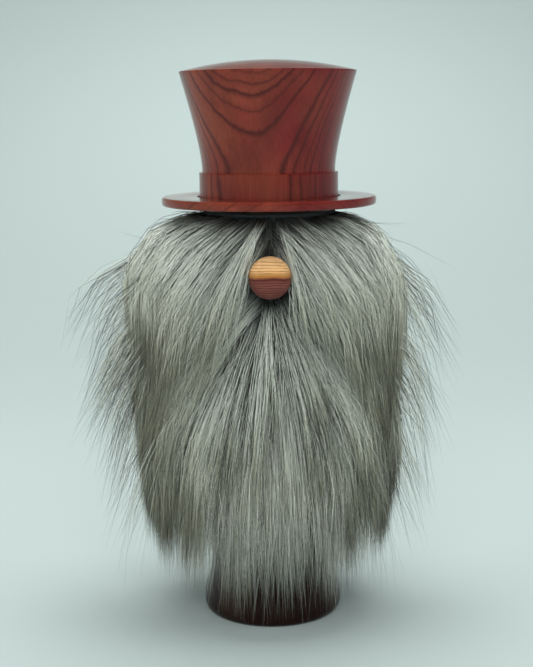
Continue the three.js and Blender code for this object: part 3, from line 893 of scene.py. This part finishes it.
def spin_strands(name, points, tone, radius):
    """Strands as closed, three-sided, tapering tubes along their paths, in one mesh.

    A ring's corner is P + r (U cos a + V sin a), with U and V square to the path and to each other.
    The map's u is the strand's tone and v runs from root to tip.
    """
    count = len(points)
    along = np.gradient(points, axis=1)
    along /= np.linalg.norm(along, axis=2, keepdims=True)
    chord = points[:, -1] - points[:, 0]
    even = np.arange(count)[:, None] % 2 == 0
    still = np.cross(chord, np.where(even, [[0.3, 0.9, 0.1]], [[0.9, -0.3, 0.2]]))
    across = np.cross(along, still[:, None])
    across /= np.linalg.norm(across, axis=2, keepdims=True)
    over = np.cross(along, across)
    rings = len(STRAND_GIRTH)
    turn = np.arange(SIDES) * (2 * math.pi / SIDES)
    girth = (radius[:, None] * STRAND_GIRTH)[..., None, None]
    circle = across[:, :rings, None] * np.cos(turn)[:, None] + over[:, :rings, None] * np.sin(turn)[:, None]
    tubes = (points[:, :rings, None] + girth * circle).reshape(count, rings * SIDES, 3)
    vertices = np.concatenate([tubes, points[:, -1:]], axis=1)
    ring, side, quads = ring_quads(rings, SIDES)
    corner = np.arange(SIDES)
    last = (rings - 1) * SIDES
    fan = np.stack([last + corner, last + (corner + 1) % SIDES, np.full(SIDES, rings * SIDES)], axis=-1)
    first = (np.arange(count) * (rings * SIDES + 1))[:, None, None]
    faces = [(first + block).reshape(-1, block.shape[1]) for block in (quads, fan, corner[None, ::-1])]
    start, end = STRAND_STOPS[ring], STRAND_STOPS[ring + 1]
    late, tip = STRAND_STOPS[-2:]
    maps = [
        ([side, side + 1, side + 1, side], [start, start, end, end]),
        ([corner, corner + 1, corner + 0.5], np.repeat([[late], [late], [tip]], SIDES, axis=1)),
        (corner[None, ::-1].T, [[0.0], [0.01], [0.0]]),
    ]
    uv = []
    for map_across, map_along in maps:
        u = tone[:, None] + MAP_WIDTH * np.stack(map_across, axis=-1).ravel()
        v = np.broadcast_to(np.stack(map_along, axis=-1).ravel(), u.shape)
        uv.append(np.stack([u, v], axis=-1).reshape(-1, 2))
    return write_mesh(name, vertices.reshape(-1, 3), faces, np.concatenate(uv))


def fur_shading():
    """Two-toned strands: dark root, pale length, black tip. The length greys towards the tip, partly with
    painted shade, and the fringe strands over the foot are painted brighter as painted light. u is the tone
    and v runs along the strand.
    """
    fur = bpy.context.scene.gnome.fur
    shade = Shading("fur_pile", Roughness=0.46, Specular_IOR_Level=0.35)
    u, v = shade.along_map()
    tone = shade.span(u, 0.17, 0.80)
    pile = shade.blend(tone, fur.grey_colour, fur.pale_colour)
    # Greyer and warmer towards the tips: partly the strands' own colour, partly painted shade standing in
    # for the lower fur getting less light from above.
    tip_grey_and_shade = shade.blend(shade.span(v, 0.50, 0.92), (0.97, 1.0, 1.0), (0.74, 0.68, 0.53))
    pile = shade.blend(1.0, pile, tip_grey_and_shade, "MULTIPLY")
    guard = shade.span(u, 0.13, 0.15, 1, 0)
    trimmed_and_lit = shade.span(u, 0.85, 0.86)
    pile = shade.blend(guard, pile, (0.13, 0.13, 0.115))
    # Fringe strands keep the full pale colour, with no grey towards the tip and no black tip: painted light
    # on the shaded bottom of the beard.
    pile = shade.blend(trimmed_and_lit, pile, fur.pale_colour)
    root = shade.span(shade.math("MULTIPLY_ADD", tone, 0.10, v), 0.06, 0.28, 1, 0)
    rooted = shade.blend(root, pile, fur.root_colour)
    late = shade.math("MULTIPLY_ADD", trimmed_and_lit, -0.22, shade.math("MULTIPLY_ADD", tone, -0.10, v))
    shade.colour(shade.blend(shade.span(late, 0.78, 0.93), rooted, fur.tip_colour))
    return shade


def knit_cloth(name, low, high, holds):
    """A knitted sleeve round the post: r = outside + depth sin(wales) sin(courses), closed at its edges."""
    fur = bpy.context.scene.gnome.fur
    inside = CLOTH_RADIUS - CLOTH_THICKNESS
    rows = round((high - low) / (COURSE / 4))
    height = np.linspace(low, high, rows)
    outer = np.stack([np.full(rows, CLOTH_RADIUS - LOOP_DEPTH), height], axis=1)
    inner = np.stack([np.full(rows, inside), height], axis=1)[::-1]
    cloth = turned(name, np.concatenate([outer, inner]), 160)
    place = np.zeros(len(cloth.data.vertices) * 3, np.float32)
    cloth.data.vertices.foreach_get("co", place)
    place = place.reshape(-1, 3)
    bearing = np.arctan2(place[:, 0], -place[:, 1])
    outside = np.hypot(place[:, 0], place[:, 1]) > (inside + CLOTH_THICKNESS / 4) * MM
    slant = 2 * np.abs(np.sin(WALES / 2 * bearing))
    loops = np.sin(WALES * bearing) * np.sin(place[:, 2] / MM * 2 * math.pi / COURSE + slant)
    place[:, :2] *= (1 + outside * LOOP_DEPTH * loops / CLOTH_RADIUS)[:, None]
    cloth.data.vertices.foreach_set("co", place.ravel())
    cloth.data.update()
    shade = Shading(name + "_knit", Roughness=0.95)
    point = shade.place()
    fuzz = shade.varied(shade.noise(point, 1.5, 3.0), 0.7, 1.4)
    shade.colour(shade.toned(fur.cloth_colour, fuzz))
    shade.bump(shade.noise(point, 2.5, 2.0), 0.1, 0.6)
    shade.cover(cloth)
    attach(cloth, FIGURE)
    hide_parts(holds)
    return cloth


def wrap(cloth_name, backing, lie, rooted, count, seed, locks, low, high):
    """A wrap of long-pile fur: its knitted cloth and a piece of pile for each lock of the CAD model.

    rooted is the lowest and the highest root.
    """
    gnome = bpy.context.scene.gnome
    post_outline = foot_outline(gnome.post)
    cloth = knit_cloth(cloth_name, low, high, backing)
    bearing, points, tone = grow_fur(lie, *rooted, count, seed, post_outline)
    rng = np.random.default_rng(seed + 1)
    radius = in_mm(gnome.fur, "thickness")[0] * rng.uniform(0.8, 1.2, len(tone))
    material = fur_shading()
    for node, (left, right) in locks.items():
        mine = np.flatnonzero((bearing >= left) & (bearing < right))[:MOST_STRANDS]
        pile = spin_strands("pile_" + node, points[mine], tone[mine], radius[mine])
        material.cover(pile)
        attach(pile, FIGURE)
        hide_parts(node)


# ---------------------------------------------------------------- post and nose


def foot_outline(post):
    """The post's foot and trunk: a rounded edge, an S-curve up to the trunk, and a rounded shoulder."""
    flat, widest, neck, trunk, shoulder, edge = in_mm(
        post, "foot_flat", "foot_widest", "foot_neck", "trunk", "shoulder", "shoulder_round"
    )
    foot = POST_HIGH[0]
    middle = (widest + neck) / 2
    return outline_of(
        bezier([flat, 0], [foot, 0], [foot, widest], steps=10),
        bezier([foot, widest], [foot, middle], [trunk, middle], [trunk, neck], steps=20),
        bezier([trunk, shoulder - edge], [trunk, shoulder], [trunk - edge, shoulder], steps=6),
    )


# Name, place, target, width and height in metres, and watts.
LIGHTS = (
    ("key_light", (0, -1.2, 1.0), (0, 0, 0.14), 1.1, 0.5, 11.5),
    ("top_light", (0, 0.28, 1.35), (0, 0.28, 0), 1.1, 0.8, 20.0),
    ("left_light", (-1.3, -0.3, 0.6), (0, 0, 0.2), 1.0, 0.9, 6.5),
    ("right_light", (1.3, -0.3, 0.6), (0, 0, 0.2), 1.0, 0.9, 5.5),
    ("wall_light", (0, 1.0, 0.75), (0, 1.65, 0.42), 0.25, 0.2, 2.2),
)
FLOOR_RADIUS, WALL_BEND, WALL_TOP = 500, 1700, 3200  # of the paper sweep, in millimetres
SWEEP_SEGMENTS = 96


class GNOME_OT_stage(Operator):
    """Camera, paper sweep and soft lights"""

    bl_idname = "gnome.stage"
    bl_label = "Stage"

    def execute(self, context):
        stage = context.scene.gnome.stage
        scene = context.scene
        data = bpy.data.cameras.new("camera")
        data.sensor_width = 36
        data.lens = stage.lens
        data.clip_start = 0.01
        data.clip_end = 20
        data.dof.use_dof = False
        camera = bpy.data.objects.new("camera", data)
        place = Vector((-stage.camera_left, -stage.camera_distance, stage.camera_height))
        tilt = Matrix.Rotation(math.pi / 2 - stage.pitch, 4, "X") @ Matrix.Rotation(stage.roll, 4, "Z")
        camera.matrix_world = Matrix.Translation(place) @ tilt
        scene.collection.objects.link(camera)
        scene.camera = camera
        scene.view_settings.view_transform = "Standard"
        self.sweep(stage)
        self.room(scene, stage)
        for lamp in LIGHTS:
            self.light(*lamp)
        return {"FINISHED"}

    def sweep(self, stage):
        """A round paper floor that curves up into a wall: x = r sin a, y = r cos a along its outline."""
        turn = np.linspace(0, math.pi / 2, 32)
        curve = np.stack([FLOOR_RADIUS + WALL_BEND * np.sin(turn), WALL_BEND * (1 - np.cos(turn))], axis=1)
        rows = np.concatenate([[[FLOOR_RADIUS + WALL_BEND, WALL_TOP]], curve[::-1]])
        bearing = np.arange(SWEEP_SEGMENTS) * (2 * math.pi / SWEEP_SEGMENTS)
        x, y = rows[:, :1] * np.sin(bearing), rows[:, :1] * np.cos(bearing)
        points = np.stack([x, y, np.broadcast_to(rows[:, 1:], x.shape)], axis=-1).reshape(-1, 3)
        wall = ring_quads(len(rows), SWEEP_SEGMENTS)[2]
        first = (len(rows) - 1) * SWEEP_SEGMENTS + np.arange(SWEEP_SEGMENTS)
        disc = np.stack([first, np.roll(first, -1), np.full(SWEEP_SEGMENTS, len(points))], -1)
        sweep = write_mesh("sweep", np.concatenate([points, [[0, 0, 0]]]), [wall, disc])
        shade = Shading("paper", Roughness=0.75, Specular_IOR_Level=0.2)
        shade.colour((*stage.floor_colour, 1))
        shade.cover(sweep)

    def room(self, scene, stage):
        world = bpy.data.worlds.new("room")
        world.use_nodes = True
        background = world.node_tree.nodes["Background"]
        background.inputs["Color"].default_value = (*stage.room_colour, 1)
        background.inputs["Strength"].default_value = stage.room_strength
        scene.world = world

    def light(self, name, place, target, width, height, power):
        data = bpy.data.lights.new(name, "AREA")
        data.shape = "RECTANGLE"
        data.size = width
        data.size_y = height
        data.energy = power
        data.color = (0.97, 1.0, 0.995)
        lamp = bpy.data.objects.new(name, data)
        lamp.visible_camera = False
        lamp.visible_glossy = False
        aim = (Vector(target) - Vector(place)).to_track_quat("-Z", "Y")
        lamp.matrix_world = Matrix.Translation(Vector(place)) @ aim.to_matrix().to_4x4()
        bpy.context.scene.collection.objects.link(lamp)


class GNOME_OT_post(Operator):
    """The turned post with its foot and the spigot that the hat sits on"""

    bl_idname = "gnome.post"
    bl_label = "Post"

    def execute(self, context):
        settings = context.scene.gnome.post
        spigot, bevel, shoulder = in_mm(settings, "spigot", "spigot_bevel", "shoulder")
        top = POST_HIGH[2]
        outline = outline_of(
            [0, 0],
            foot_outline(settings),
            [spigot, shoulder],
            [spigot, top - bevel],
            [spigot - bevel, top],
            [0, top],
        )
        post = turned("post", outline)
        bored(post, DOWEL_HOLE, -DOWEL_HIGH[1] - DOWEL_END, CLOTH_RADIUS + 20, NOSE_MIDDLE[2])
        polish = {"Coat_Weight": 0.4, "Coat_IOR": 1.2, "Coat_Roughness": 0.08}
        shade = Shading("post_wood", Roughness=0.30, Specular_IOR_Level=0.1, **polish)
        point = shade.place((8, 21, 0), (0.04, -0.06, 0))
        distance = pith_distance(shade, point)
        rings = even_rings(shade, distance, 1.9)
        cloud = shade.span(shade.noise(point, 0.06, 2.0, (1, 1, 0.25)), 0.42, 0.62)
        figure = shade.blend(cloud, settings.wood, settings.streak)
        # Painted shade: the foot darkens towards the streak colour over its lowest 9 millimetres, next to
        # the floor.
        height = shade.parts(shade.place())[2]
        low = shade.span(height, 9, 2)
        darker = shade.blend(shade.math("MULTIPLY", low, 0.75), figure, settings.streak)
        grain = shade.varied(fibres(shade, point), 0.7, 1.3)
        grained = shade.toned(darker, grain)
        shade.colour(shade.blend(shade.math("MULTIPLY", rings, 0.5), grained, settings.streak))
        shade.bump(fibres(shade, point), 0.02, 0.3)
        shade.cover(post)
        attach(post, FIGURE)
        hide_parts("body")
        return {"FINISHED"}


class GNOME_OT_nose(Operator):
    """The ball nose and the dowel behind it"""

    bl_idname = "gnome.nose"
    bl_label = "Nose"

    def execute(self, context):
        settings = context.scene.gnome.nose
        height = NOSE_MIDDLE[2]
        turn = np.linspace(0, math.pi, 97)
        outline = np.stack([NOSE_RADIUS * np.sin(turn), -NOSE_RADIUS * np.cos(turn)], axis=1)
        outline[[0, -1], 0] = 0
        ball = turned("nose_ball", outline, 192)
        faced_forward(ball, NOSE_MIDDLE)
        bored(ball, DOWEL_HOLE, 20, -DOWEL_LOW[1] + DOWEL_END, height)
        self.ball_wood(settings, ball, height)
        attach(ball, FIGURE)
        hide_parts("nose")
        self.dowel_wood()
        return {"FINISHED"}

    def ball_wood(self, settings, ball, height):
        """Growth rings seen edge on, as level lines: pale sapwood above red heartwood."""
        shade = Shading("nose_wood", Roughness=0.42, Specular_IOR_Level=0.2)
        point = shade.place((0, 0, -height))
        x, _, z = shade.parts(point)
        bend = shade.math("MULTIPLY", x, x)
        wander = shade.span(shade.noise(point, 0.12, 2.0), 0, 1, -0.7, 0.7)
        level = shade.math("ADD", shade.math("MULTIPLY_ADD", bend, 0.006, z), wander)
        gold = shade.span(level, 4.2, 1.6)
        heart = shade.span(level, 1.5, 0.7)
        upper = shade.blend(gold, settings.sapwood, settings.gold)
        base = shade.blend(heart, upper, settings.heartwood)
        rings = placed_rings(shade, level, -9.5, 9.5, [
            (-8.0, 0.8, 0.34), (-6.9, 0.8, 0.34), (-5.7, 1.0, 0.38), (-4.6, 0.8, 0.34), (-3.4, 0.9, 0.38),
            (-2.2, 0.8, 0.34), (-1.0, 0.9, 0.38), (0.4, 1.0, 0.8),
        ])
        lines = placed_rings(shade, level, -9.5, 9.5, [
            (1.9, 1.0, 0.35), (2.9, 0.9, 0.3), (4.0, 1.0, 0.34), (5.2, 0.85, 0.3), (6.4, 0.8, 0.3),
            (7.6, 0.7, 0.3),
        ])
        lined = shade.blend(lines, base, settings.gold)
        streak = shade.noise(point, 1.6, 3.0, (0.06, 0.3, 1.2))
        streaked = shade.toned(lined, shade.varied(streak, 0.8, 1.2))
        shade.colour(shade.blend(rings, streaked, settings.ring))
        shade.bump(streak, 0.02, 0.4)
        shade.cover(ball)

    def dowel_wood(self):
        shade = Shading("birch", Roughness=0.6)
        point = shade.place((0, 0, 0), (math.pi / 2, 0, 0))
        shade.colour(shade.blend(fibres(shade, point), (0.48, 0.32, 0.18), (0.68, 0.50, 0.31)))
        shade.bump(fibres(shade, point), 0.03, 0.5)
        shade.cover(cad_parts["nose_dowel"])


class GNOME_OT_hat(Operator):
    """The hat's turned crown and brim"""

    bl_idname = "gnome.hat"
    bl_label = "Hat"

    def execute(self, context):
        hat = context.scene.gnome.hat
        crown = turn_crown(hat)
        rings = [
            (97.6, 0.50, 0.32), (96.1, 0.70, 0.32), (94.9, 1.0, 0.42), (93.3, 0.7, 0.32), (91.0, 1.0, 0.45),
            (86.5, 0.95, 0.6), (84.6, 0.85, 0.5), (82.4, 0.7, 0.38), (80.6, 0.9, 0.5), (77.6, 0.7, 0.38),
        ]
        cedar("crown_cedar", (-12.8, -55.5, 0), (0, 0, 0), rings, 70, 100).cover(crown)
        brim = turn_brim(hat)
        rings = [
            (26.0, 0.6, 0.5), (31.5, 0.5, 0.4), (35.0, 0.7, 0.6), (38.5, 0.5, 0.4), (43.0, 0.6, 0.5),
            (48.0, 0.7, 0.6), (52.0, 0.5, 0.4), (57.0, 0.6, 0.5),
        ]
        turn = (math.radians(90), math.radians(15), 0)
        cedar("brim_cedar", (0, 160, 30), turn, rings, 20, 70).cover(brim)
        for piece, node in ((crown, "hat_crown"), (brim, "hat_brim")):
            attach(piece, HAT)
            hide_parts(node)
        return {"FINISHED"}


class GNOME_OT_hair(Operator):
    """The upper fur wrap, parted above the nose"""

    bl_idname = "gnome.hair"
    bl_label = "Hair"

    def execute(self, context):
        low, high = HAIR_CLOTH_LOW[2], HAIR_CLOTH_HIGH[2]
        count = context.scene.gnome.fur.hair_strands
        rooted = (low + 0.5, high - 1)
        wrap("hair_cloth", "hair_backing", HAIR_LIE, rooted, count, 11, HAIR_LOCKS, low, high)
        return {"FINISHED"}


class GNOME_OT_beard(Operator):
    """The lower fur wrap"""

    bl_idname = "gnome.beard"
    bl_label = "Beard"

    def execute(self, context):
        low, high = BEARD_CLOTH_LOW[2], BEARD_CLOTH_HIGH[2]
        count = context.scene.gnome.fur.beard_strands
        rooted = (low + 17, high - 0.5)
        wrap("beard_cloth", "beard_backing", BEARD_LIE, rooted, count, 23, BEARD_LOCKS, low, high)
        return {"FINISHED"}


class GNOME_PT_builder(Panel):
    """Buttons that build the gnome"""

    bl_idname = "GNOME_PT_builder"
    bl_label = "Gnome"
    bl_space_type = "VIEW_3D"
    bl_region_type = "UI"
    bl_category = "Gnome"

    def draw(self, context):
        for operator in OPERATORS:
            self.layout.operator(operator.bl_idname)


OPERATORS = (GNOME_OT_stage, GNOME_OT_post, GNOME_OT_nose, GNOME_OT_hat, GNOME_OT_hair, GNOME_OT_beard)
CLASSES = (
    StageSettings,
    PostSettings,
    HatSettings,
    NoseSettings,
    FurSettings,
    GnomeSettings,
    *OPERATORS,
    GNOME_PT_builder,
)


def register():
    for cls in CLASSES:
        bpy.utils.register_class(cls)
    bpy.types.Scene.gnome = PointerProperty(type=GnomeSettings)


def unregister():
    del bpy.types.Scene.gnome
    for cls in reversed(CLASSES):
        bpy.utils.unregister_class(cls)


def main():
    register()
    bpy.ops.gnome.stage()
    bpy.ops.gnome.post()
    bpy.ops.gnome.nose()
    bpy.ops.gnome.hat()
    bpy.ops.gnome.hair()
    bpy.ops.gnome.beard()


if __name__ == "__main__":
    main()
